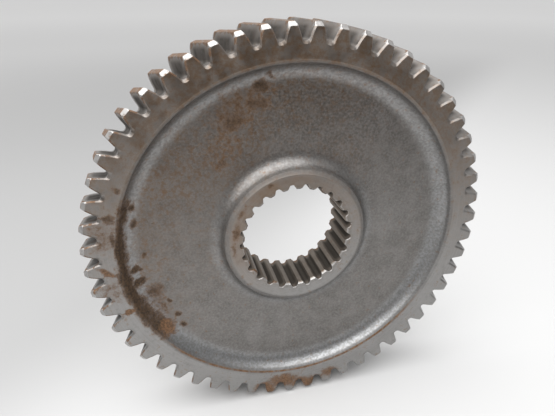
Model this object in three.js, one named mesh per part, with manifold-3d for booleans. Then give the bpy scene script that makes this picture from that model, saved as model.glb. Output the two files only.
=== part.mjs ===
// Helical gear with a splined bore: one steel forging with a toothed rim, a recessed web and a central hub.
//
// The real gear is a single piece, forged as a blank and then machined, so the part is a single mesh. It
// stands on its teeth with its axis along Y, and its front face looks along -Y. The origin is the middle of
// the bore. Lengths are in millimetres and angles in radians.
//
// The shape is worked out lying down, with the gear's axis along Z and its front face up, and the finished
// mesh is turned upright at the end.

import * as THREE from 'three';
import { mergeVertices } from 'three/addons/utils/BufferGeometryUtils.js';
import Module from 'manifold-3d';

const wasm = await Module();
wasm.setup();

const degree = Math.PI / 180;

// Driving dimensions of the teeth
const toothCount = 55;
const normalModule = 4;
const pressureAngle = 20 * degree;
const helixAngle = 15 * degree;
const faceWidth = 28.5;
const tipChamfer = 2.2;

// Driving dimensions of the forged body
const rimFaceInnerRadius = 100;
const hubFaceOuterRadius = 39.4;
const recessDepth = 8;
const rimFillet = 11;
const hubFillet = 9.5;
const rimBevelWidth = 1.6;
const hubBevelWidth = 2.3;
const bevelAngle = 30 * degree;

// Driving dimensions of the internal spline
const splineCount = 25;
const splineModule = 2.54;
const splinePressureAngle = 30 * degree;
const splinePhase = -5.3 * degree;
const boreChamfer = 1.1;

// How finely curves are divided
const flankSteps = 2;
const rootSteps = 2;
const filletSteps = 5;
const turnSteps = 72;

// Cutting shapes reach this far past the surface that they cut.
const overrun = 1;

// The blank's hole is this much smaller in radius than the finished bore.
const boreAllowance = 5;

// Gear geometry, in the plane of rotation
const pitchRadius = toothCount * normalModule / Math.cos(helixAngle) / 2;
const transverseAngle = Math.atan(Math.tan(pressureAngle) / Math.cos(helixAngle));
const tipRadius = pitchRadius + normalModule;
const rootRadius = pitchRadius - 1.25 * normalModule;
const rootFillet = 0.4 * normalModule;
const twistPerLength = Math.tan(helixAngle) / pitchRadius;

// Spline geometry
const splinePitchRadius = splineCount * splineModule / 2;
const splineMinorRadius = splinePitchRadius - 0.5 * splineModule;
const splineMajorRadius = splinePitchRadius + 0.675 * splineModule;
const splineCorner = 0.15 * splineModule;

function polar(radius, angle) {
  return new THREE.Vector2(radius * Math.cos(angle), radius * Math.sin(angle));
}

function involute(angle) {
  return Math.tan(angle) - angle;
}

// Half the angle that an involute tooth fills at a radius. Tooth and space are equally wide at the pitch
// circle.
function toothHalfAngle(radius, pitch, pressure, count) {
  const baseRadius = pitch * Math.cos(pressure);
  const angleHere = Math.acos(baseRadius / radius);
  return Math.PI / 2 / count + involute(pressure) - involute(angleHere);
}

// One flank of a tooth from its tip, down the involute and round the root fillet, as radius and half angle.
function flankOutline(pitch, pressure, count, tip, root, fillet) {
  const halfAngle = (radius) => toothHalfAngle(radius, pitch, pressure, count);
  const points = [];
  for (let step = 0; step <= flankSteps; step += 1) {
    const radius = THREE.MathUtils.lerp(tip, root + fillet, step / flankSteps);
    points.push(new THREE.Vector2(radius, halfAngle(radius)));
  }
  const corner = new THREE.Vector2(root, halfAngle(root));
  const spaceMiddle = new THREE.Vector2(root, Math.PI / count);
  const bend = new THREE.QuadraticBezierCurve(points[flankSteps], corner, spaceMiddle);
  return points.concat(bend.getPoints(rootSteps).slice(1));
}

// The closed outline of a ring of equal teeth: each tooth is one flank and its mirror image.
function toothRing(count, phase, flank) {
  const outline = [];
  for (let tooth = 0; tooth < count; tooth += 1) {
    const middle = phase + 2 * Math.PI * tooth / count;
    for (const { x: radius, y: halfAngle } of flank.slice(0, -1).reverse()) {
      outline.push(polar(radius, middle - halfAngle));
    }
    for (const { x: radius, y: halfAngle } of flank) {
      outline.push(polar(radius, middle + halfAngle));
    }
  }
  return outline;
}

// A prism with its length centred on the gear's middle plane.
function prism(outline, length) {
  const shape = new THREE.Shape(outline);
  const geometry = new THREE.ExtrudeGeometry(shape, { depth: length, bevelEnabled: false });
  return geometry.translate(0, 0, -length / 2);
}

// Turns each level of a prism about the axis. A left-hand helix turns anticlockwise as it goes away from
// the front face, where a tooth is centred on +X.
function twist(geometry) {
  const position = geometry.attributes.position;
  const vertex = new THREE.Vector3();
  const axis = new THREE.Vector3(0, 0, 1);
  for (let index = 0; index < position.count; index += 1) {
    vertex.fromBufferAttribute(position, index);
    vertex.applyAxisAngle(axis, (faceWidth / 2 - vertex.z) * twistPerLength);
    position.setXYZ(index, vertex.x, vertex.y, vertex.z);
  }
  return geometry;
}

// A body of revolution from a closed profile of radius and height.
function revolve(profile) {
  const closed = [...profile, profile[0]];
  return new THREE.LatheGeometry(closed, turnSteps).rotateX(Math.PI / 2);
}

// Points of an arc, ends included.
function arc(centre, radius, startAngle, endAngle) {
  const points = [];
  for (let step = 0; step <= filletSteps; step += 1) {
    const angle = THREE.MathUtils.lerp(startAngle, endAngle, step / filletSteps);
    points.push(polar(radius, angle).add(centre));
  }
  return points;
}

// The wall of the recess that faces away from the axis for direction 1, and towards it for direction -1: a
// bevel from the edge of the flat face, then a fillet that runs out level with the web. The first point is on
// the face.
function recessWall(faceRadius, direction, bevelWidth, fillet) {
  const face = faceWidth / 2;
  const webHeight = face - recessDepth;
  const bevelFoot = new THREE.Vector2(
    faceRadius + direction * bevelWidth,
    face - bevelWidth * Math.tan(bevelAngle),
  );
  const slope = Math.acos(1 - (bevelFoot.y - webHeight) / fillet);
  const centre = new THREE.Vector2(bevelFoot.x + direction * fillet * Math.sin(slope), webHeight + fillet);
  const down = 1.5 * Math.PI;
  return [new THREE.Vector2(faceRadius, face), ...arc(centre, fillet, down - direction * slope, down)];
}

// Half of the blank's profile: the front side, from the hub face out to the tip chamfer.
function frontProfile() {
  const face = faceWidth / 2;
  return [
    ...recessWall(hubFaceOuterRadius, 1, hubBevelWidth, hubFillet),
    ...recessWall(rimFaceInnerRadius, -1, rimBevelWidth, rimFillet).reverse(),
    new THREE.Vector2(tipRadius - tipChamfer, face),
    new THREE.Vector2(tipRadius + overrun, face - tipChamfer - overrun),
  ];
}

// The turned blank, as a ring whose hole is smaller than the finished bore. Both sides are alike.
function blank() {
  const face = faceWidth / 2;
  const innerRadius = splineMinorRadius - boreAllowance;
  const front = [new THREE.Vector2(innerRadius, face), ...frontProfile()];
  const back = front.map((point) => new THREE.Vector2(point.x, -point.y));
  return revolve([...back, ...front.reverse()]);
}

// The cutter for the chamfer where the bore meets a face. side is 1 for the front and -1 for the back.
function chamferCutter(side) {
  const innerRadius = splineMinorRadius - boreAllowance;
  const face = faceWidth / 2;
  const faceRadius = splineMinorRadius + boreChamfer;
  const profile = [
    new THREE.Vector2(innerRadius, side * (face + overrun)),
    new THREE.Vector2(innerRadius, side * (face - (faceRadius - innerRadius))),
    new THREE.Vector2(faceRadius + overrun, side * (face + overrun)),
  ];
  return revolve(side > 0 ? profile : profile.reverse());
}

function solid(geometry) {
  const bare = geometry.clone();
  bare.deleteAttribute('normal');
  bare.deleteAttribute('uv');
  const merged = mergeVertices(bare);
  const vertProperties = new Float32Array(merged.attributes.position.array);
  const triVerts = new Uint32Array(merged.index.array);
  return new wasm.Manifold(new wasm.Mesh({ numProp: 3, vertProperties, triVerts }));
}

function geometryOf(manifold) {
  const mesh = manifold.getMesh();
  const geometry = new THREE.BufferGeometry();
  geometry.setAttribute('position', new THREE.BufferAttribute(mesh.vertProperties, 3));
  geometry.setIndex(new THREE.BufferAttribute(mesh.triVerts, 1));
  geometry.computeVertexNormals();
  return geometry;
}

function gearGeometry() {
  const cutLength = faceWidth + 2 * overrun;
  const flank = flankOutline(
    pitchRadius, transverseAngle, toothCount, tipRadius, rootRadius, rootFillet,
  );
  const toothedDisc = twist(prism(toothRing(toothCount, 0, flank), cutLength));
  // The spline's spaces have the outline of external teeth. Their tips are the corners at the major circle.
  const space = flankOutline(
    splinePitchRadius, splinePressureAngle, splineCount, splineMajorRadius, splineMinorRadius, splineCorner,
  );
  const splineCutter = prism(toothRing(splineCount, splinePhase, space), cutLength);
  const finished = solid(blank())
    .intersect(solid(toothedDisc))
    .subtract(solid(splineCutter))
    .subtract(solid(chamferCutter(1)))
    .subtract(solid(chamferCutter(-1)));
  return geometryOf(finished);
}

const steel = new THREE.MeshStandardMaterial({ color: 0x736d68, roughness: 0.5, metalness: 0.85 });

const gear = new THREE.Mesh(gearGeometry(), steel);
gear.name = 'gear';
gear.rotation.x = Math.PI / 2;

const group = new THREE.Group();
group.add(gear);

export default group;
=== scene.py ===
"""Looks of the helical gear: one fine mesh with a worn, patchily rusted steel surface.

The gear's axis is Y and its front face looks along -Y. Its shape is worked out lying down, as a series of
closed rings with the same number of points, and turned upright at the end. Angles on the gear run
anticlockwise from +X, as seen from the front. Lengths are in metres.
"""

import math

import bpy
import numpy as np
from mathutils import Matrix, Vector, noise


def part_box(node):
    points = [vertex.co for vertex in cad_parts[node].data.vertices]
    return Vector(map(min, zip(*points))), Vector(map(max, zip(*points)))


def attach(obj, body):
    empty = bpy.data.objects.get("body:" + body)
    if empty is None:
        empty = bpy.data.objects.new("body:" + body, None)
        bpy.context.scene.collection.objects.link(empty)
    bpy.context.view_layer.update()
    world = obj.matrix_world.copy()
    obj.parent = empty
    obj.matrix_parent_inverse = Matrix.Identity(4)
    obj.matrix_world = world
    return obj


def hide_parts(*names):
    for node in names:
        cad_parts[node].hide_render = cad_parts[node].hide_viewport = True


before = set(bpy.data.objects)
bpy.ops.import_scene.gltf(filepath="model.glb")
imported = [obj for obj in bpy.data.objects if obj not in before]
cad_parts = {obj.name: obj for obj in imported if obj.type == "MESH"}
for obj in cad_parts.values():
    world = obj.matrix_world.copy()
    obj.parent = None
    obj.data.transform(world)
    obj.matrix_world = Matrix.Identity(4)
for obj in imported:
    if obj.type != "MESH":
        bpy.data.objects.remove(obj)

MM = 0.001
DEGREE = math.pi / 180

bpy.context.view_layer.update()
LOW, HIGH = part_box("gear")
FACE = (HIGH.y - LOW.y) / 2
TIP_RADIUS = HIGH.x

# Teeth
TOOTH_COUNT = 55
NORMAL_MODULE = 4 * MM
HELIX_ANGLE = 15 * DEGREE
PRESSURE_ANGLE = 20 * DEGREE
PITCH_RADIUS = TOOTH_COUNT * NORMAL_MODULE / math.cos(HELIX_ANGLE) / 2
TRANSVERSE_ANGLE = math.atan(math.tan(PRESSURE_ANGLE) / math.cos(HELIX_ANGLE))
ROOT_RADIUS = PITCH_RADIUS - 1.25 * NORMAL_MODULE
ROOT_FILLET = 0.4 * NORMAL_MODULE
TWIST_PER_LENGTH = math.tan(HELIX_ANGLE) / PITCH_RADIUS
TIP_CHAMFER = 2.2 * MM
END_BEVEL = 0.8 * MM
FLANK_BEVEL_WIDTH = 0.75 * MM
ROOT_BEVEL_WIDTH = 1.7 * MM
TIP_EDGE_BREAK = 0.25 * MM

# Internal spline
SPLINE_COUNT = 25
SPLINE_MODULE = 2.54 * MM
SPLINE_PRESSURE_ANGLE = 30 * DEGREE
SPLINE_PHASE = -5.3 * DEGREE
SPLINE_PITCH_RADIUS = SPLINE_COUNT * SPLINE_MODULE / 2
SPLINE_MINOR_RADIUS = SPLINE_PITCH_RADIUS - 0.5 * SPLINE_MODULE
SPLINE_MAJOR_RADIUS = SPLINE_PITCH_RADIUS + 0.675 * SPLINE_MODULE
SPLINE_TIP_ROUND = 0.07 * SPLINE_MODULE
SPLINE_ROOT_FILLET = 0.2 * SPLINE_MODULE
BORE_CHAMFER = 1.1 * MM
BORE_EDGE_BREAK = 0.25 * MM

# Forged recess between the hub and the rim
RIM_FACE_INNER_RADIUS = 100 * MM
HUB_FACE_OUTER_RADIUS = 39.4 * MM
RECESS_DEPTH = 8 * MM
RIM_FILLET = 11 * MM
HUB_FILLET = 9.5 * MM
RIM_BEVEL_WIDTH = 1.6 * MM
HUB_BEVEL_WIDTH = 2.3 * MM
BEVEL_ANGLE = 30 * DEGREE
RIM_BEVEL_FOOT = RIM_FACE_INNER_RADIUS - RIM_BEVEL_WIDTH
HUB_BEVEL_FOOT = HUB_FACE_OUTER_RADIUS + HUB_BEVEL_WIDTH
FORGING_WAVE = 0.16 * MM
FORGING_WAVE_LENGTH = 22 * MM

# Steps along half a tooth: outer land, outer round, flank, inner round, inner land
TOOTH_STEPS = (1, 1, 3, 4, 1)
SPLINE_STEPS = (3, 4, 6, 4, 5)
# Points round each ring. The steps of all the spline teeth add up to the same number.
COLUMNS = 2 * sum(TOOTH_STEPS) * TOOTH_COUNT
COLUMN_ANGLE = 2 * math.pi / COLUMNS
# Rings on a flat face, as shares of the way across it
HUB_FACE_SHARES = (0.3, 0.65)
TOOTH_END_SHARES = (0.35, 0.7, 0.93)
FILLET_STEPS = 7
WEB_STEPS = 9
TOOTH_RINGS = 5
BORE_RINGS = 3
SHARP_ANGLE = 24 * DEGREE

# Whole columns by which the helix has carried the teeth round at the back face
BACK_SHIFT = round(2 * FACE * TWIST_PER_LENGTH / COLUMN_ANGLE)


# ---------------------------------------------------------------- shape

def involute(angle):
    return np.tan(angle) - angle


def tooth_half_angle(radius, pitch, pressure, count):
    """Half the angle that an involute tooth fills at a radius.

    Tooth and space are equally wide at the pitch circle.
    """
    angle_here = np.arccos(pitch * math.cos(pressure) / radius)
    return math.pi / 2 / count + involute(pressure) - involute(angle_here)


def straight(start, end, steps):
    """Points from start towards end in radius and angle, without the last."""
    share = np.arange(steps)[:, None] / max(steps, 1)
    return np.array(start) * (1 - share) + np.array(end) * share


def bend(start, corner, end, steps):
    """A rounded corner: a quadratic curve in radius and angle, without its last point."""
    share = np.arange(steps)[:, None] / max(steps, 1)
    start, corner, end = np.array(start), np.array(corner), np.array(end)
    return start * (1 - share) ** 2 + corner * 2 * share * (1 - share) + end * share**2


def half_tooth(outer, inner, half_angle, outer_round, inner_round, steps, count):
    """Radius and angle from the middle of the outer land, down a flank, to the middle of the inner land."""
    flank_top = outer - outer_round
    flank_foot = inner + inner_round
    outer_land_end = half_angle(outer) - outer_round / outer
    inner_land_start = min(half_angle(inner) + inner_round / inner, math.pi / count)
    flank_radii = flank_top + (flank_foot - flank_top) * np.arange(steps[2]) / steps[2]

    def on_flank(radius):
        return (radius, half_angle(radius))

    middle_of_space = (inner, math.pi / count)
    return np.concatenate([
        straight((outer, 0), (outer, outer_land_end), steps[0]),
        bend((outer, outer_land_end), on_flank(outer), on_flank(flank_top), steps[1]),
        np.stack(on_flank(flank_radii), axis=1),
        bend(on_flank(flank_foot), on_flank(inner), (inner, inner_land_start), steps[3]),
        straight((inner, inner_land_start), middle_of_space, steps[4]),
        [middle_of_space],
    ])


def tooth_outline(half, count, phase):
    """Repeats half a tooth and its mirror image round the axis: radius and angle for every column."""
    per_tooth = 2 * (len(half) - 1)
    first_column = round(phase / COLUMN_ANGLE)
    column = np.arange(COLUMNS) - first_column
    tooth = np.floor_divide(column + per_tooth // 2, per_tooth)
    offset = column - tooth * per_tooth
    radius = half[np.abs(offset), 0]
    angle = phase + tooth * 2 * math.pi / count + np.sign(offset) * half[np.abs(offset), 1]
    return np.stack([radius, angle], axis=1)


def gear_outline(depth):
    """Outline of the teeth at a depth below the end face, near which they are bevelled and chamfered."""
    bevelled = max(0, 1 - depth / END_BEVEL)
    outer = TIP_RADIUS - max(0, TIP_CHAMFER - depth)
    base_radius = PITCH_RADIUS * math.cos(TRANSVERSE_ANGLE)

    def half_angle(radius):
        plain = tooth_half_angle(radius, PITCH_RADIUS, TRANSVERSE_ANGLE, TOOTH_COUNT)
        return plain - bevelled * FLANK_BEVEL_WIDTH / base_radius

    root = ROOT_RADIUS - bevelled * ROOT_BEVEL_WIDTH
    half = half_tooth(outer, root, half_angle, TIP_EDGE_BREAK, ROOT_FILLET, TOOTH_STEPS, TOOTH_COUNT)
    return tooth_outline(half, TOOTH_COUNT, 0)


def bore_outline(depth):
    """Outline of the splined bore at a depth below the end face.

    Its spaces have the outline of external teeth, so their outer lands are at the major circle.
    """
    bevel = max(0, BORE_EDGE_BREAK - depth)
    inner = SPLINE_MINOR_RADIUS + max(0, BORE_CHAMFER - depth)
    base_radius = SPLINE_PITCH_RADIUS * math.cos(SPLINE_PRESSURE_ANGLE)

    def half_angle(radius):
        plain = tooth_half_angle(radius, SPLINE_PITCH_RADIUS, SPLINE_PRESSURE_ANGLE, SPLINE_COUNT)
        return plain + bevel / base_radius

    half = half_tooth(
        SPLINE_MAJOR_RADIUS + bevel, inner, half_angle, SPLINE_ROOT_FILLET, SPLINE_TIP_ROUND,
        SPLINE_STEPS, SPLINE_COUNT,
    )
    return tooth_outline(half, SPLINE_COUNT, SPLINE_PHASE)


def circle(radius):
    angle = np.arange(COLUMNS) * COLUMN_ANGLE
    return np.stack([np.full(COLUMNS, radius), angle], axis=1)


def between(start, end, share):
    return start * (1 - share) + end * share


def recess_wall(face_radius, direction, bevel_width, fillet):
    """Radius, height and forged share from the edge of a flat face, down a bevel and a fillet, to the web.

    direction is 1 for the wall that faces away from the axis and -1 for the wall that faces it. The foot of
    the bevel isn't fully forged, so the waves of the skin leave it alone.
    """
    web_height = FACE - RECESS_DEPTH
    bevel_foot = FACE - bevel_width * math.tan(BEVEL_ANGLE)
    foot_radius = face_radius + direction * bevel_width
    slope = math.acos(1 - (bevel_foot - web_height) / fillet)
    centre = foot_radius + direction * fillet * math.sin(slope)
    profile = [(face_radius, FACE, 0)]
    for step in range(FILLET_STEPS + 1):
        angle = slope * (1 - step / FILLET_STEPS)
        height = web_height + fillet * (1 - math.cos(angle))
        profile.append((centre - direction * fillet * math.sin(angle), height, 0.9 if step == 0 else 1))
    return profile


def recess_profile():
    """Radius, height and forged share from the hub face's edge, over the web, to the rim face's edge."""
    hub_side = recess_wall(HUB_FACE_OUTER_RADIUS, 1, HUB_BEVEL_WIDTH, HUB_FILLET)
    rim_side = recess_wall(RIM_FACE_INNER_RADIUS, -1, RIM_BEVEL_WIDTH, RIM_FILLET)
    web = []
    for step in range(1, WEB_STEPS):
        radius = between(hub_side[-1][0], rim_side[-1][0], step / WEB_STEPS)
        web.append((radius, FACE - RECESS_DEPTH, 1))
    return hub_side + web + rim_side[::-1]


class Rings:
    """Collects rings, each with the height and the surface masks of its points."""

    def __init__(self):
        self.points = []
        self.masks = {"forged": [], "edge": [], "tooth": [], "bore": [], "burr": []}

    def add(self, outline, height, **values):
        radius, angle = outline[:, 0], outline[:, 1]
        heights = np.full(COLUMNS, height)
        self.points.append(np.stack([radius * np.cos(angle), radius * np.sin(angle), heights], axis=1))
        for name, rows in self.masks.items():
            rows.append(np.broadcast_to(values.get(name, 0.0), (COLUMNS,)).astype(float))


def edge_of_outline(outline, inner, outer):
    """1 from the outer radius outwards, falling to 0 at the inner one, and quickly at first."""
    return np.clip((outline[:, 0] - inner) / (outer - inner), 0, 1) ** 3


def add_side(rings, side):
    """One side of the gear, from the bore out to the tooth tips: 1 for the front and -1 for the back."""
    shift = 0 if side > 0 else BACK_SHIFT

    def body(outline):
        """The body's points. At the back they move on by whole columns, to stay in step with the teeth."""
        moved = np.roll(outline, -shift, axis=0)
        if shift:
            moved[-shift:, 1] += 2 * math.pi
        return moved

    def teeth(depth):
        outline = gear_outline(depth)
        height = side * (FACE - depth)
        outline[:, 1] += (FACE - height) * TWIST_PER_LENGTH
        return outline

    rings.add(body(bore_outline(BORE_CHAMFER)), side * (FACE - BORE_CHAMFER), bore=1, edge=0.6)
    rings.add(body(bore_outline(BORE_EDGE_BREAK)), side * (FACE - BORE_EDGE_BREAK), bore=0.8, edge=0.95)
    mouth = body(bore_outline(0))
    rings.add(mouth, side * FACE, bore=0.3, edge=0.8)
    hub_edge = body(circle(HUB_FACE_OUTER_RADIUS))
    for share in HUB_FACE_SHARES:
        rings.add(between(mouth, hub_edge, share), side * FACE)
    for radius, height, forged in recess_profile():
        rings.add(body(circle(radius)), side * height, forged=forged, edge=0.15 if forged < 1 else 0)
    rim_edge = body(circle(RIM_FACE_INNER_RADIUS))
    end = teeth(0)
    ring_below_teeth = between(rim_edge, end, 0.5)
    ring_below_teeth[:, 0] = between(RIM_FACE_INNER_RADIUS, ROOT_RADIUS - ROOT_BEVEL_WIDTH, 0.8)
    rings.add(ring_below_teeth, side * FACE)
    for share in TOOTH_END_SHARES:
        rings.add(between(ring_below_teeth, end, share), side * FACE)
    for depth in (0, END_BEVEL, TIP_CHAMFER):
        outline = teeth(depth)
        on_land = edge_of_outline(outline, ROOT_RADIUS, TIP_RADIUS - TIP_CHAMFER)
        rings.add(
            outline, side * (FACE - depth),
            tooth=1 if depth else 0.5, edge=0.3 + 0.5 * on_land, burr=1 if depth < TIP_CHAMFER else 0,
        )


def add_reversed(rings, addition):
    """Adds another set of rings in the opposite order."""
    rings.points.extend(reversed(addition.points))
    for name, rows in rings.masks.items():
        rows.extend(reversed(addition.masks[name]))


def gear_rings():
    """All the rings, round the section: bore, front side, teeth, back side, and the bore again."""
    rings = Rings()
    add_side(rings, 1)
    for step in range(1, TOOTH_RINGS):
        depth = between(TIP_CHAMFER, 2 * FACE - TIP_CHAMFER, step / TOOTH_RINGS)
        outline = gear_outline(TIP_CHAMFER)
        outline[:, 1] += depth * TWIST_PER_LENGTH
        on_land = edge_of_outline(outline, PITCH_RADIUS, TIP_RADIUS)
        rings.add(outline, FACE - depth, tooth=1, edge=0.6 * on_land)
    back = Rings()
    add_side(back, -1)
    add_reversed(rings, back)
    for step in range(1, BORE_RINGS):
        outline = np.roll(bore_outline(BORE_CHAMFER), -BACK_SHIFT, axis=0)
        height = between(BORE_CHAMFER - FACE, FACE - BORE_CHAMFER, step / BORE_RINGS)
        rings.add(outline, height, bore=1)
    return rings


def ring_faces(ring_count):
    """Quads between neighbouring rings. The last ring joins the first, where the back's shift is undone."""
    column = np.arange(COLUMNS)
    following = np.roll(column, -1)
    faces = []
    for ring in range(ring_count):
        here = ring * COLUMNS
        there = here + COLUMNS
        near, far = column, following
        if ring == ring_count - 1:
            there = 0
            near, far = np.roll(column, -BACK_SHIFT), np.roll(following, -BACK_SHIFT)
        faces.append(np.stack([here + column, here + following, there + far, there + near], axis=1))
    return np.concatenate(faces)


def forged_waves(points, forged):
    """Moves the forged skin along the axis by a slow random wave, and leaves machined surfaces alone.

    Front and back take their waves from far apart in the noise.
    """
    for index in np.nonzero(forged > 0.9)[0]:
        x, y, height = points[index]
        place = Vector((x, y, math.copysign(5, height) * FORGING_WAVE_LENGTH)) / FORGING_WAVE_LENGTH
        points[index, 2] += FORGING_WAVE * noise.noise(place)


def gear_mesh():
    rings = gear_rings()
    points = np.concatenate(rings.points)
    masks = {name: np.concatenate(rows) for name, rows in rings.masks.items()}
    forged_waves(points, masks["forged"])
    upright = np.stack([points[:, 0], -points[:, 2], points[:, 1]], axis=1)
    faces = ring_faces(len(rings.points))
    mesh = bpy.data.meshes.new("gear_surface")
    mesh.from_pydata(upright.tolist(), [], faces.tolist())
    mesh.validate()
    for name, values in masks.items():
        mesh.attributes.new(name, "FLOAT", "POINT").data.foreach_set("value", values.astype(np.float32))
    mesh.shade_smooth()
    mesh.set_sharp_from_angle(angle=SHARP_ANGLE)
    return mesh


# ---------------------------------------------------------------- material

class Nodes:
    """Short calls that add nodes to one node tree and return their output sockets."""

    def __init__(self, owner):
        owner.use_nodes = True
        self.tree = owner.node_tree
        self.tree.nodes.clear()

    def node(self, kind, inputs=(), **settings):
        made = self.tree.nodes.new("ShaderNode" + kind)
        for name, value in settings.items():
            setattr(made, name, value)
        for name, value in dict(inputs).items():
            if isinstance(value, bpy.types.NodeSocket):
                self.tree.links.new(value, made.inputs[name])
            else:
                made.inputs[name].default_value = value
        return made

    def math(self, operation, first, second=0.0):
        return self.node("Math", {0: first, 1: second}, operation=operation).outputs[0]

    def add(self, *values):
        total = values[0]
        for value in values[1:]:
            total = self.math("ADD", total, value)
        return total

    def times(self, *values):
        product = values[0]
        for value in values[1:]:
            product = self.math("MULTIPLY", product, value)
        return product

    def most(self, *values):
        largest = values[0]
        for value in values[1:]:
            largest = self.math("MAXIMUM", largest, value)
        return largest

    def vector(self, operation, first, second=(0, 0, 0), output=0):
        return self.node("VectorMath", {0: first, 1: second}, operation=operation).outputs[output]

    def noise(self, place, size, detail, roughness=0.55, output="Fac"):
        """Noise whose largest features are about size across, in metres."""
        inputs = {"Vector": place, "Scale": 1 / size, "Detail": detail, "Roughness": roughness}
        return self.node("TexNoise", inputs).outputs[output]

    def ramp(self, value, low, high, out_low=0.0, out_high=1.0):
        """value from low to high becomes out_low to out_high, smoothly, and no further."""
        inputs = {"Value": value, "From Min": low, "From Max": high, "To Min": out_low, "To Max": out_high}
        return self.node("MapRange", inputs, interpolation_type="SMOOTHSTEP").outputs["Result"]

    def blend(self, share, first, second):
        """A number between first and second."""
        return self.node("MapRange", {"Value": share, "To Min": first, "To Max": second}).outputs["Result"]

    def mix(self, share, first, second):
        """A colour between first and second."""
        inputs = {"Fac": share, "Color1": first, "Color2": second}
        return self.node("MixRGB", inputs).outputs["Color"]

    def near(self, value, middle, reach):
        """1 where value is at middle, falling to 0 at reach from it."""
        return self.ramp(self.math("ABSOLUTE", self.math("SUBTRACT", value, middle)), reach, 0.2 * reach)

    def attribute(self, name):
        return self.node("Attribute", attribute_name=name).outputs["Fac"]


def grey(value, warmth=0.0):
    """A linear grey, warmer for a positive warmth."""
    return (value * (1 + warmth), value, value * (1 - warmth), 1)


# Colours of the steel. A pair holds the colours of the darker and the lighter patches.
SKIN = (grey(0.16, 0.05), grey(0.215, 0.045))
SKIN_CLOUD = grey(0.25, 0.03)
SKIN_GRAIN = grey(0.33, 0.03)
SKIN_PIT = grey(0.12, 0.05)
SKIN_FLECK = grey(0.10, 0.12)
SHOT_BLASTED = (grey(0.30, -0.03), grey(0.44, -0.05))
TURNED = (grey(0.255, 0.025), grey(0.31, 0.02))
TURNED_RIDGE = grey(0.37, 0.02)
TURNED_FLECK = grey(0.17, 0.05)
CUT_TEETH = (grey(0.21, 0.03), grey(0.30, 0.02))
BROACHED_BORE = (grey(0.14, 0.17), grey(0.20, 0.13))
WORN_EDGE = grey(0.5, 0.01)

# Colours of stain, dirt and rust, of which the stain and the dirt also stand for painted shade. Each pair
# is for rust that varies from grain to grain.
# Brown stain, which towards the top also stands for painted shade
STAIN_AND_SHADE_ON_TURNED = (0.235, 0.145, 0.08, 1)
STAIN_AND_SHADE_ON_SKIN = (0.185, 0.105, 0.052, 1)
STAIN_FLECK = (0.22, 0.125, 0.065, 1)
# Dark colour of the dirt and painted shade in the corners, between the teeth and in the spline
DIRT_AND_SHADE = (0.022, 0.017, 0.012, 1)
THIN_RUST = ((0.12, 0.06, 0.028, 1), (0.21, 0.115, 0.056, 1))
DARK_RUST = ((0.032, 0.019, 0.010, 1), (0.085, 0.048, 0.023, 1))
ORANGE_RUST = ((0.10, 0.054, 0.027, 1), (0.215, 0.115, 0.058, 1))

# Roughness. A pair holds its values where the noise is low and where it is high.
SKIN_ROUGHNESS = (0.4, 0.56)
SHOT_BLASTED_ROUGHNESS = (0.46, 0.36)
TURNED_ROUGHNESS = (0.36, 0.5)
BEVEL_ROUGHNESS = 0.68

# Rust, dirt and the painted shade are dull and hardly metallic
DULL_ROUGHNESS = 0.88
CLEAN_METALLIC = 0.92
DULL_METALLIC = 0.05

# How strongly the relief shows, and how deep it is
RELIEF_STRENGTH = 0.42
RELIEF_DEPTH = 0.25 * MM

# Sizes of the largest features of each noise
CLOUD_SIZE = 38 * MM
CHANCE_RUST_SIZE = 30 * MM
MOTTLE_SIZE = 9 * MM
DRIFT_SIZE = 7 * MM
FLECK_SIZE = 3.2 * MM
SHOT_SIZE = 1.5 * MM
GRAIN_SIZE = 1.3 * MM
SPECK_SIZE = 0.6 * MM
TURNING_SIZE = 0.5 * MM

# How far the outlines of the rust marks wander
RUST_DRIFT = 7 * MM

# Rust marks on the front: angle in degrees, radius in mm, half sizes in mm along the radius and across it,
# lean of the mark in degrees, and strength.
BROWN_MARKS = (
    (165, 97, 3.5, 11, 0, 0.95),
    (178, 97.5, 3.6, 15, 0, 1.05),
    (190, 98, 4.2, 15, 0, 1.1),
    (202, 97, 5, 13, 0, 1.0),
    (210, 95.5, 5.5, 13, 0, 1.0),
    (206, 89.5, 7, 17, 0, 0.5),
    (187, 92.5, 3.6, 2.6, 0, 1.1),
    (192.5, 92, 5, 3, 0, 1.1),
    (199, 88, 8, 7, 0, 0.72),
    (206, 83, 2, 2, 0, 0.85),
    (213, 85, 3, 2.4, 0, 0.85),
    (218, 87, 3, 2.6, 0, 0.85),
    (169, 91.4, 2.4, 4, 0, 0.8),
    (163, 92.5, 2.4, 4, 0, 0.8),
    (182, 86, 2, 2, 0, 0.75),
    (102, 88.5, 4, 5.5, 0, 0.92),
    (98, 93.5, 2, 2.6, 0, 0.72),
    (116, 76.5, 7, 10, 0, 0.72),
    (104, 80, 4.5, 9, 0, 0.74),
    (112, 82, 13, 24, 0, 0.52),
    (126, 68, 12, 16, 0, 0.46),
    (131, 61, 4, 5, 0, 0.66),
    (166.7, 104.6, 5, 3, 0, 0.85),
    (157.5, 103, 2.4, 2.6, 0, 0.8),
    (173, 101.2, 2, 7, 0, 0.8),
    (172, 105.5, 9, 14, 0, 0.5),
    (190, 105.5, 8, 11, 0, 0.46),
    (277, 112, 5, 9, 0, 0.8),
    (114, 38.2, 1.6, 2.2, 0, 0.72),
    (166, 36, 3.4, 8, 0, 0.6),
    (148, 37, 2.4, 6, 0, 0.54),
    (184, 37, 2.2, 6, 0, 0.54),
)
ORANGE_MARKS = (
    (184, 105.5, 7, 2.4, -38, 0.85),
    (199.5, 103, 4.6, 1.4, 0, 1.15),
    (214, 94.5, 5, 8, 0, 0.98),
    (266, 106.5, 6.5, 13, 0, 0.9),
    (260, 112, 6, 9, 0, 0.95),
    (273, 111, 6, 11, 0, 0.88),
    (283, 109, 5, 8, 0, 0.78),
)


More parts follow.
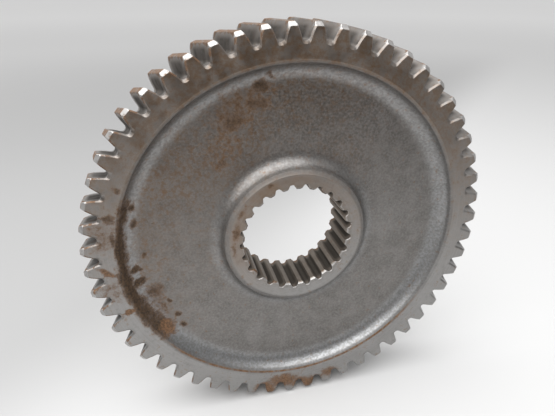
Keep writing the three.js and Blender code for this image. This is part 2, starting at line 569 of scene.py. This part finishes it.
def marks(nodes, place, list_of_marks):
    """The strongest mark at each point. A mark fades to nothing at one and a half times its half size."""
    strongest = 0.0
    for angle, radius, radial, around, lean, strength in list_of_marks:
        turn = angle * DEGREE
        middle = Vector((math.cos(turn), 0, math.sin(turn))) * radius * MM
        rotation = {"Vector": place, "Center": middle, "Angle": turn + lean * DEGREE}
        turned = nodes.node("VectorRotate", rotation, rotation_type="Y_AXIS").outputs[0]
        offset = nodes.vector("SUBTRACT", turned, middle)
        scaled = nodes.vector("MULTIPLY", offset, (1 / (radial * MM), 0, 1 / (around * MM)))
        distance = nodes.vector("LENGTH", scaled, output=1)
        strongest = nodes.most(strongest, nodes.ramp(distance, 0.2, 1.5, strength, 0))
    return strongest


class Surface:
    """What the steel's looks depend on: masks, regions and noise at several sizes."""

    def __init__(self, nodes):
        self.place = nodes.node("TexCoord").outputs["Object"]
        parts = nodes.node("SeparateXYZ", {"Vector": self.place}).outputs
        self.height = parts["Z"]
        self.radius = nodes.vector("LENGTH", nodes.vector("MULTIPLY", self.place, (1, 0, 1)), output=1)
        self.from_middle = nodes.math("ABSOLUTE", parts["Y"])
        # The angle from the leftmost point of the gear, upwards
        self.angle_from_left = nodes.math("ARCTAN2", parts["Z"], nodes.times(parts["X"], -1))
        self.front = nodes.ramp(parts["Y"], 0.2 * FACE, -0.2 * FACE)
        self.left = nodes.ramp(parts["X"], 60 * MM, -60 * MM)
        # Upper left, where the stain and its painted shade are strongest
        along_upper_left = nodes.vector("DOT_PRODUCT", self.place, (-0.6, 0, 0.8), output=1)
        self.upper_left = nodes.ramp(along_upper_left, -35 * MM, 80 * MM)
        self.read_masks(nodes)
        self.find_regions(nodes)
        self.make_noise(nodes)

    def read_masks(self, nodes):
        """The masks that the mesh carries."""
        self.forged = nodes.attribute("forged")
        self.edge = nodes.attribute("edge")
        self.tooth = nodes.attribute("tooth")
        self.bore = nodes.attribute("bore")
        self.burr = nodes.attribute("burr")

    def find_regions(self, nodes):
        """Chamfered ends of the tooth tips, bevels round the recess, and its fillets."""
        facet_foot = TIP_RADIUS - TIP_CHAMFER
        on_tip = nodes.ramp(self.radius, facet_foot - 0.3 * MM, facet_foot + 0.1 * MM)
        on_end = nodes.ramp(self.from_middle, FACE - TIP_CHAMFER, FACE - TIP_CHAMFER + 0.3 * MM)
        self.facet = nodes.times(on_tip, on_end)
        self.off_facet = nodes.blend(self.facet, 1, 0)
        hub_bevel = nodes.near(self.radius, HUB_BEVEL_FOOT - 0.5 * HUB_BEVEL_WIDTH, HUB_BEVEL_WIDTH)
        rim_bevel = nodes.near(self.radius, RIM_BEVEL_FOOT + 0.5 * RIM_BEVEL_WIDTH, RIM_BEVEL_WIDTH)
        self.bevels = nodes.most(hub_bevel, rim_bevel)
        hub_fillet = nodes.near(self.radius, HUB_BEVEL_FOOT + 0.4 * HUB_FILLET, 0.65 * HUB_FILLET)
        rim_fillet = nodes.near(self.radius, RIM_BEVEL_FOOT - 0.37 * RIM_FILLET, 0.68 * RIM_FILLET)
        self.fillets = nodes.most(nodes.times(hub_fillet, 0.6), rim_fillet)

    def make_noise(self, nodes):
        """Noise from broad clouds down to single grains."""
        self.cloud = nodes.noise(self.place, CLOUD_SIZE, 3)
        self.mottle = nodes.noise(self.place, MOTTLE_SIZE, 5, 0.6)
        self.flecks = nodes.noise(self.place, FLECK_SIZE, 5, 0.72)
        self.shot = nodes.noise(self.place, SHOT_SIZE, 1, 0.5)
        self.grain = nodes.noise(self.place, GRAIN_SIZE, 3, 0.6)
        self.speck = nodes.noise(self.place, SPECK_SIZE, 2, 0.5)
        # Turning marks: noise that varies with the radius and hardly along a circle
        across_circles = nodes.node("CombineXYZ", {"X": self.radius}).outputs[0]
        along_circles = nodes.vector("MULTIPLY", self.place, (0.02, 0.02, 0.02))
        self.turning = nodes.noise(nodes.vector("ADD", across_circles, along_circles), TURNING_SIZE, 3, 0.7)
        # Rust creeps along an uneven front, so its marks are looked up at shifted places
        wander = nodes.noise(self.place, DRIFT_SIZE, 4, 0.6, "Color")
        drift = nodes.vector("SUBTRACT", wander, (0.5, 0.5, 0.5))
        shift = nodes.vector("MULTIPLY", drift, (RUST_DRIFT, RUST_DRIFT, RUST_DRIFT))
        self.rust_place = nodes.vector("ADD", self.place, shift)


def forged_skin(nodes, surface, patchy):
    """Cloudy, grainy and flecked with dark scale, and lighter in the fillets, with painted light that makes
    them lighter low down than at the top.
    """
    skin = nodes.mix(patchy, *SKIN)
    skin = nodes.mix(nodes.ramp(surface.cloud, 0.5, 0.7, 0, 0.35), skin, SKIN_CLOUD)
    skin = nodes.mix(nodes.ramp(surface.grain, 0.38, 0.72, 0, 0.5), skin, SKIN_GRAIN)
    skin = nodes.mix(nodes.ramp(surface.grain, 0.46, 0.3, 0, 0.2), skin, SKIN_PIT)
    skin = nodes.mix(nodes.ramp(surface.flecks, 0.5, 0.28, 0, 0.4), skin, SKIN_FLECK)
    blasted = nodes.mix(nodes.ramp(surface.shot, 0.38, 0.62), *SHOT_BLASTED)
    # Painted light and shade: the fillets' lighter tone is strong low down and weak at the top
    painted_light_low_down = nodes.ramp(surface.height, 60 * MM, -60 * MM, 0.25, 0.45)
    return nodes.mix(nodes.times(surface.fillets, painted_light_low_down), skin, blasted)


def turned_steel(nodes, surface, patchy):
    """Light faces with fine turning marks and a few dark flecks."""
    turned = nodes.mix(patchy, *TURNED)
    turned = nodes.mix(nodes.ramp(surface.turning, 0.4, 0.65, 0, 0.25), turned, TURNED_RIDGE)
    return nodes.mix(nodes.ramp(surface.flecks, 0.48, 0.3, 0, 0.4), turned, TURNED_FLECK)


def clean_steel(nodes, surface):
    """Dark forged skin, lighter turned faces and cut teeth, and bright worn edges."""
    patchy = nodes.ramp(surface.mottle, 0.3, 0.7)
    turned = turned_steel(nodes, surface, patchy)
    steel = nodes.mix(surface.forged, turned, forged_skin(nodes, surface, patchy))
    steel = nodes.mix(surface.tooth, steel, nodes.mix(patchy, *CUT_TEETH))
    steel = nodes.mix(surface.bore, steel, nodes.mix(patchy, *BROACHED_BORE))
    worn = nodes.ramp(nodes.add(surface.edge, nodes.times(surface.grain, 0.5)), 0.85, 1.3)
    worn_facet = nodes.times(surface.facet, nodes.ramp(surface.mottle, 0.35, 0.6, 0.35, 0.8))
    return nodes.mix(nodes.most(worn, worn_facet), steel, WORN_EDGE)


def stain_and_top_shade(nodes, surface, steel):
    """Thin brown stain, strongest over the upper left, weak in the fillets, and a few flecks anywhere.

    Towards the top and the upper left the stain is also painted shade.
    """
    cloudy = nodes.ramp(surface.cloud, 0.35, 0.62, 0.35, 1)
    skin_flecks = nodes.ramp(surface.flecks, 0.42, 0.6, 0.25, 0.9)
    off_fillets = nodes.blend(surface.fillets, 1, 0.3)
    # Stain on the forged skin, partly painted shade over the upper left
    skin_stain_and_shade = nodes.times(surface.upper_left, cloudy, skin_flecks, off_fillets)
    # Stain on the turned faces, partly painted shade towards the top
    upper = nodes.ramp(surface.height, -50 * MM, 110 * MM)
    face_stain_and_shade = nodes.times(upper, nodes.ramp(surface.flecks, 0.38, 0.58, 0.45, 1.05))
    round_bore = nodes.near(surface.radius, SPLINE_MAJOR_RADIUS + 1.5 * MM, 7 * MM)
    bore_mottle = nodes.ramp(surface.mottle, 0.35, 0.6, 0.9, 1.5)
    bore_stain = nodes.times(round_bore, surface.upper_left, bore_mottle)
    stain = nodes.blend(surface.forged, nodes.most(face_stain_and_shade, bore_stain), skin_stain_and_shade)
    stain = nodes.times(stain, nodes.blend(surface.facet, 1, 0.3), nodes.blend(surface.tooth, 1, 0.35))
    # Brown stain colours, which also paint the shade at the top
    colour = nodes.mix(surface.forged, STAIN_AND_SHADE_ON_TURNED, STAIN_AND_SHADE_ON_SKIN)
    steel = nodes.mix(nodes.times(stain, 0.7), steel, colour)
    fleck = nodes.ramp(surface.flecks, 0.58, 0.68, 0, 0.5)
    return nodes.mix(nodes.times(fleck, surface.off_facet), steel, STAIN_FLECK)


def dirt_and_painted_shade(nodes, surface, steel):
    """Painted shade, mixed with grime in the corners: a dark line in the corners under the bevels, and
    darkening between the teeth and deep in the spline.

    Returns the colour and how dark each point is.
    """
    # Painted shade and grime: a dark line in the corners under the bevels
    hub_corner = nodes.near(surface.radius, HUB_BEVEL_FOOT + 0.3 * MM, 0.8 * MM)
    rim_corner = nodes.near(surface.radius, RIM_BEVEL_FOOT - 0.3 * MM, 0.8 * MM)
    corners = nodes.times(nodes.most(hub_corner, rim_corner), surface.forged, 0.3)
    # Painted shade between the teeth, away from the end faces and below the tips
    behind_end = nodes.ramp(surface.from_middle, FACE - 2 * MM, FACE - 8 * MM)
    below_tip = nodes.ramp(surface.radius, TIP_RADIUS - 0.5 * MM, TIP_RADIUS - 3.5 * MM)
    uneven = nodes.ramp(surface.mottle, 0.35, 0.65, 0.6, 0.95)
    between_teeth = nodes.times(surface.tooth, behind_end, below_tip, uneven)
    # Painted shade deep in the spline's spaces and inside the bore
    minor = SPLINE_MINOR_RADIUS
    spline_depth = nodes.ramp(surface.radius, minor + 0.3 * MM, minor + 1.8 * MM, 0.1, 0.92)
    inside = nodes.ramp(surface.from_middle, FACE - BORE_CHAMFER, FACE - 5 * MM, 0.2, 1)
    dirt_and_shade = nodes.most(corners, between_teeth, nodes.times(surface.bore, spline_depth, inside))
    return nodes.mix(dirt_and_shade, steel, DIRT_AND_SHADE), dirt_and_shade


def crescent(nodes, surface):
    """The long brown mark under the rim's bevel, from the left of the gear down to the lower left."""
    uneven_radius = nodes.add(surface.radius, nodes.times(nodes.add(surface.mottle, -0.5), 6 * MM))
    across = nodes.near(uneven_radius, RIM_BEVEL_FOOT - 0.6 * MM, 3.4 * MM)
    from_middle = nodes.math("ABSOLUTE", nodes.add(surface.angle_from_left, 7 * DEGREE))
    return nodes.times(across, nodes.ramp(from_middle, 36 * DEGREE, 8 * DEGREE), 1.1)


def tooth_edges(nodes, surface):
    """How much of an edge each point is, for thin rust on the teeth and at the ends of the spline."""
    high = nodes.ramp(surface.radius, TIP_RADIUS - 4 * MM, TIP_RADIUS - 1 * MM, 0.35, 1)
    land = nodes.times(surface.edge, nodes.blend(surface.facet, 1, 0.25), high, 0.7)
    above_root = nodes.ramp(surface.radius, ROOT_RADIUS + 1 * MM, ROOT_RADIUS + 3.5 * MM, 0.1, 1)
    burr = nodes.times(surface.burr, above_root, nodes.blend(surface.facet, 0.4, 0.22))
    at_end = nodes.ramp(surface.from_middle, FACE - 3 * MM, FACE - 1 * MM)
    spline_end = nodes.times(surface.bore, at_end, nodes.blend(surface.front, 0.6, 0.42))
    return nodes.most(land, burr, spline_end)


def rusted(nodes, surface, steel):
    """Rust in marks on the front, by chance anywhere, along the lower rim bevel and on the tooth edges.

    Returns the colour and how rusty each point is.
    """
    breakup = nodes.add(nodes.times(surface.flecks, 1.3), nodes.times(surface.grain, 0.4), -0.3)
    brown_marks = nodes.most(marks(nodes, surface.rust_place, BROWN_MARKS), crescent(nodes, surface))
    brown_marks = nodes.times(brown_marks, surface.front)
    orange_marks = nodes.times(marks(nodes, surface.rust_place, ORANGE_MARKS), surface.front)
    chance = nodes.ramp(nodes.noise(surface.rust_place, CHANCE_RUST_SIZE, 5, 0.65), 0.66, 0.76, 0, 0.8)
    brown = nodes.ramp(nodes.add(nodes.most(brown_marks, chance), breakup), 0.95, 1.55, 0, 0.95)
    orange = nodes.ramp(nodes.add(orange_marks, breakup), 0.95, 1.45, 0, 0.9)
    halo = nodes.ramp(nodes.add(nodes.most(brown_marks, orange_marks), breakup), 0.72, 1.25, 0, 0.6)
    under_bevel = nodes.near(surface.radius, RIM_BEVEL_FOOT + 0.5 * MM, 0.8 * MM)
    low = nodes.ramp(surface.height, -45 * MM, -75 * MM)
    bevel_line = nodes.times(under_bevel, low, nodes.ramp(surface.flecks, 0.35, 0.55, 0.4, 1))
    edges = nodes.add(tooth_edges(nodes, surface), surface.flecks, nodes.times(surface.left, 0.2))
    thin = nodes.most(halo, bevel_line, nodes.ramp(edges, 0.95, 1.12, 0, 0.85))
    grainy = nodes.ramp(surface.grain, 0.35, 0.65)
    colour = nodes.mix(thin, steel, nodes.mix(grainy, *THIN_RUST))
    colour = nodes.mix(brown, colour, nodes.mix(grainy, *DARK_RUST))
    colour = nodes.mix(orange, colour, nodes.mix(grainy, *ORANGE_RUST))
    return colour, nodes.most(brown, orange, nodes.times(thin, 0.6))


def clean_roughness(nodes, surface):
    """Rough forged skin, smoother shot-blasted fillets and turned faces, and dull bevels."""
    skin = nodes.ramp(surface.grain, 0.3, 0.7, *SKIN_ROUGHNESS)
    blasted = nodes.ramp(surface.shot, 0.38, 0.62, *SHOT_BLASTED_ROUGHNESS)
    turned = nodes.ramp(surface.mottle, 0.3, 0.7, *TURNED_ROUGHNESS)
    roughness = nodes.blend(surface.forged, turned, nodes.blend(surface.fillets, skin, blasted))
    return nodes.blend(surface.bevels, roughness, BEVEL_ROUGHNESS)


def relief(nodes, surface, rust):
    """Shot-blasted grain on the forged skin, fine rings on the turned faces, and scale on the rust."""
    blasted = nodes.add(surface.grain, nodes.times(surface.speck, 0.4))
    blasted = nodes.times(blasted, nodes.blend(surface.fillets, 1, 1.35))
    height = nodes.blend(surface.forged, nodes.times(surface.turning, 0.25), blasted)
    height = nodes.add(height, nodes.times(rust, surface.flecks, 0.9))
    inputs = {"Height": height, "Strength": RELIEF_STRENGTH, "Distance": RELIEF_DEPTH}
    return nodes.node("Bump", inputs).outputs["Normal"]


def steel_material():
    material = bpy.data.materials.new("worn_forged_steel")
    nodes = Nodes(material)
    surface = Surface(nodes)
    steel = clean_steel(nodes, surface)
    # Brown stain, also painted shade towards the top
    steel = stain_and_top_shade(nodes, surface, steel)
    # Painted shade and grime in the corners, between the teeth and in the spline
    steel, dirt_and_shade = dirt_and_painted_shade(nodes, surface, steel)
    colour, rust = rusted(nodes, surface, steel)
    dull = nodes.most(rust, nodes.times(dirt_and_shade, 0.9))
    roughness = nodes.blend(dull, clean_roughness(nodes, surface), DULL_ROUGHNESS)
    metallic = nodes.blend(dull, CLEAN_METALLIC, DULL_METALLIC)
    normal = relief(nodes, surface, rust)
    inputs = {"Base Color": colour, "Roughness": roughness, "Metallic": metallic, "Normal": normal}
    shader = nodes.node("BsdfPrincipled", inputs).outputs["BSDF"]
    nodes.node("OutputMaterial", {"Surface": shader})
    return material


def make_gear():
    gear = bpy.data.objects.new("helical_gear", gear_mesh())
    bpy.context.scene.collection.objects.link(gear)
    gear.data.materials.append(steel_material())
    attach(gear, "root")
    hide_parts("gear")


# ---------------------------------------------------------------- studio

FLOOR_RADIUS = 8
FLOOR_IN_FRONT = 0.42
FLOOR_POINTS = 720

# The floor is shaded behind the gear and to its left
FLOOR_NEAR = grey(0.62)
FLOOR_FAR = grey(0.95)
FLOOR_SHADED = grey(0.38)
BEHIND_LEFT = Vector((-0.7, 0.7, 0))

# The room's light by direction, and the plain colour that the camera sees past the floor
ROOM_LOW_FRONT = (0.055, 0.042, 0.03, 1)
ROOM_LOW_RIGHT = grey(0.25)
ROOM_BEHIND = grey(0.8)
ROOM_ABOVE = grey(0.72)
BACKDROP = grey(0.62)

# Light from above, the left and a little in front
SOFTBOX_PLACE = Vector((-0.35, -0.3, 1.0))
SOFTBOX_SIZE = 1.9
SOFTBOX_POWER = 28

# The camera looks down at the gear's front from the left
CAMERA_AZIMUTH = -14.05 * DEGREE
CAMERA_ELEVATION = 25.12 * DEGREE
CAMERA_TARGET = Vector((-12.1, -16.3, 21.7)) * MM
CAMERA_DISTANCE = 270 * MM
CAMERA_LENS = 31.86
CAMERA_SENSOR_WIDTH = 36


def floor_material():
    """Pale and matt, lighter far away, with a soft shade that runs out a long way behind the gear."""
    material = bpy.data.materials.new("pale_floor")
    nodes = Nodes(material)
    place = nodes.node("TexCoord").outputs["Object"]
    away = nodes.vector("LENGTH", place, output=1)
    behind_left = nodes.vector("DOT_PRODUCT", place, BEHIND_LEFT, output=1)
    shade = nodes.times(nodes.ramp(behind_left, 0.02, 0.2), nodes.ramp(away, 2, 0.6))
    pale = nodes.mix(nodes.ramp(away, 0.7, 4), FLOOR_NEAR, FLOOR_FAR)
    pale = nodes.mix(shade, pale, FLOOR_SHADED)
    shader = nodes.node("BsdfPrincipled", {"Base Color": pale, "Roughness": 0.9}).outputs["BSDF"]
    nodes.node("OutputMaterial", {"Surface": shader})
    return material


def make_floor():
    """A disc under the gear. Most of it lies behind, and its near edge is out of the picture."""
    corners = []
    for point in range(FLOOR_POINTS):
        turn = 2 * math.pi * point / FLOOR_POINTS
        behind = FLOOR_RADIUS * (1 + math.sin(turn)) - FLOOR_IN_FRONT
        corners.append((FLOOR_RADIUS * math.cos(turn), behind, LOW.z))
    mesh = bpy.data.meshes.new("floor")
    mesh.from_pydata(corners, [], [list(range(FLOOR_POINTS))])
    mesh.materials.append(floor_material())
    floor = bpy.data.objects.new("floor", mesh)
    bpy.context.scene.collection.objects.link(floor)


def make_light():
    light = bpy.data.lights.new("softbox", "AREA")
    light.shape = "DISK"
    light.size = SOFTBOX_SIZE
    light.energy = SOFTBOX_POWER
    softbox = bpy.data.objects.new("softbox", light)
    softbox.location = SOFTBOX_PLACE
    softbox.rotation_euler = (-SOFTBOX_PLACE).to_track_quat("-Z", "Y").to_euler()
    bpy.context.scene.collection.objects.link(softbox)


def make_world():
    """A pale room, darker and browner low down in front of the gear."""
    world = bpy.data.worlds.new("studio")
    nodes = Nodes(world)
    direction = nodes.node("TexCoord").outputs["Generated"]
    parts = nodes.node("SeparateXYZ", {"Vector": direction})
    height, depth = parts.outputs["Z"], parts.outputs["Y"]
    upward = nodes.ramp(height, 0.15, 0.8)
    backward = nodes.ramp(depth, -0.5, 0.5)
    rightward = nodes.ramp(parts.outputs["X"], 0.1, 0.7)
    room = nodes.mix(rightward, ROOM_LOW_FRONT, ROOM_LOW_RIGHT)
    room = nodes.mix(backward, room, ROOM_BEHIND)
    room = nodes.mix(upward, room, ROOM_ABOVE)
    seen = nodes.node("LightPath").outputs["Is Camera Ray"]
    colour = nodes.mix(seen, room, BACKDROP)
    background = nodes.node("Background", {"Color": colour, "Strength": 1.0}).outputs[0]
    nodes.node("OutputWorld", {"Surface": background})
    bpy.context.scene.world = world


def make_camera():
    level = math.cos(CAMERA_ELEVATION)
    away = Vector((
        math.sin(CAMERA_AZIMUTH) * level,
        -math.cos(CAMERA_AZIMUTH) * level,
        math.sin(CAMERA_ELEVATION),
    ))
    data = bpy.data.cameras.new("camera")
    data.sensor_width = CAMERA_SENSOR_WIDTH
    data.lens = CAMERA_LENS
    data.clip_start = 0.01
    camera = bpy.data.objects.new("camera", data)
    camera.location = CAMERA_TARGET + away * CAMERA_DISTANCE
    camera.rotation_euler = (-away).to_track_quat("-Z", "Y").to_euler()
    bpy.context.scene.collection.objects.link(camera)
    bpy.context.scene.camera = camera


make_gear()
make_floor()
make_world()
make_light()
make_camera()
bpy.context.scene.view_settings.view_transform = "Standard"
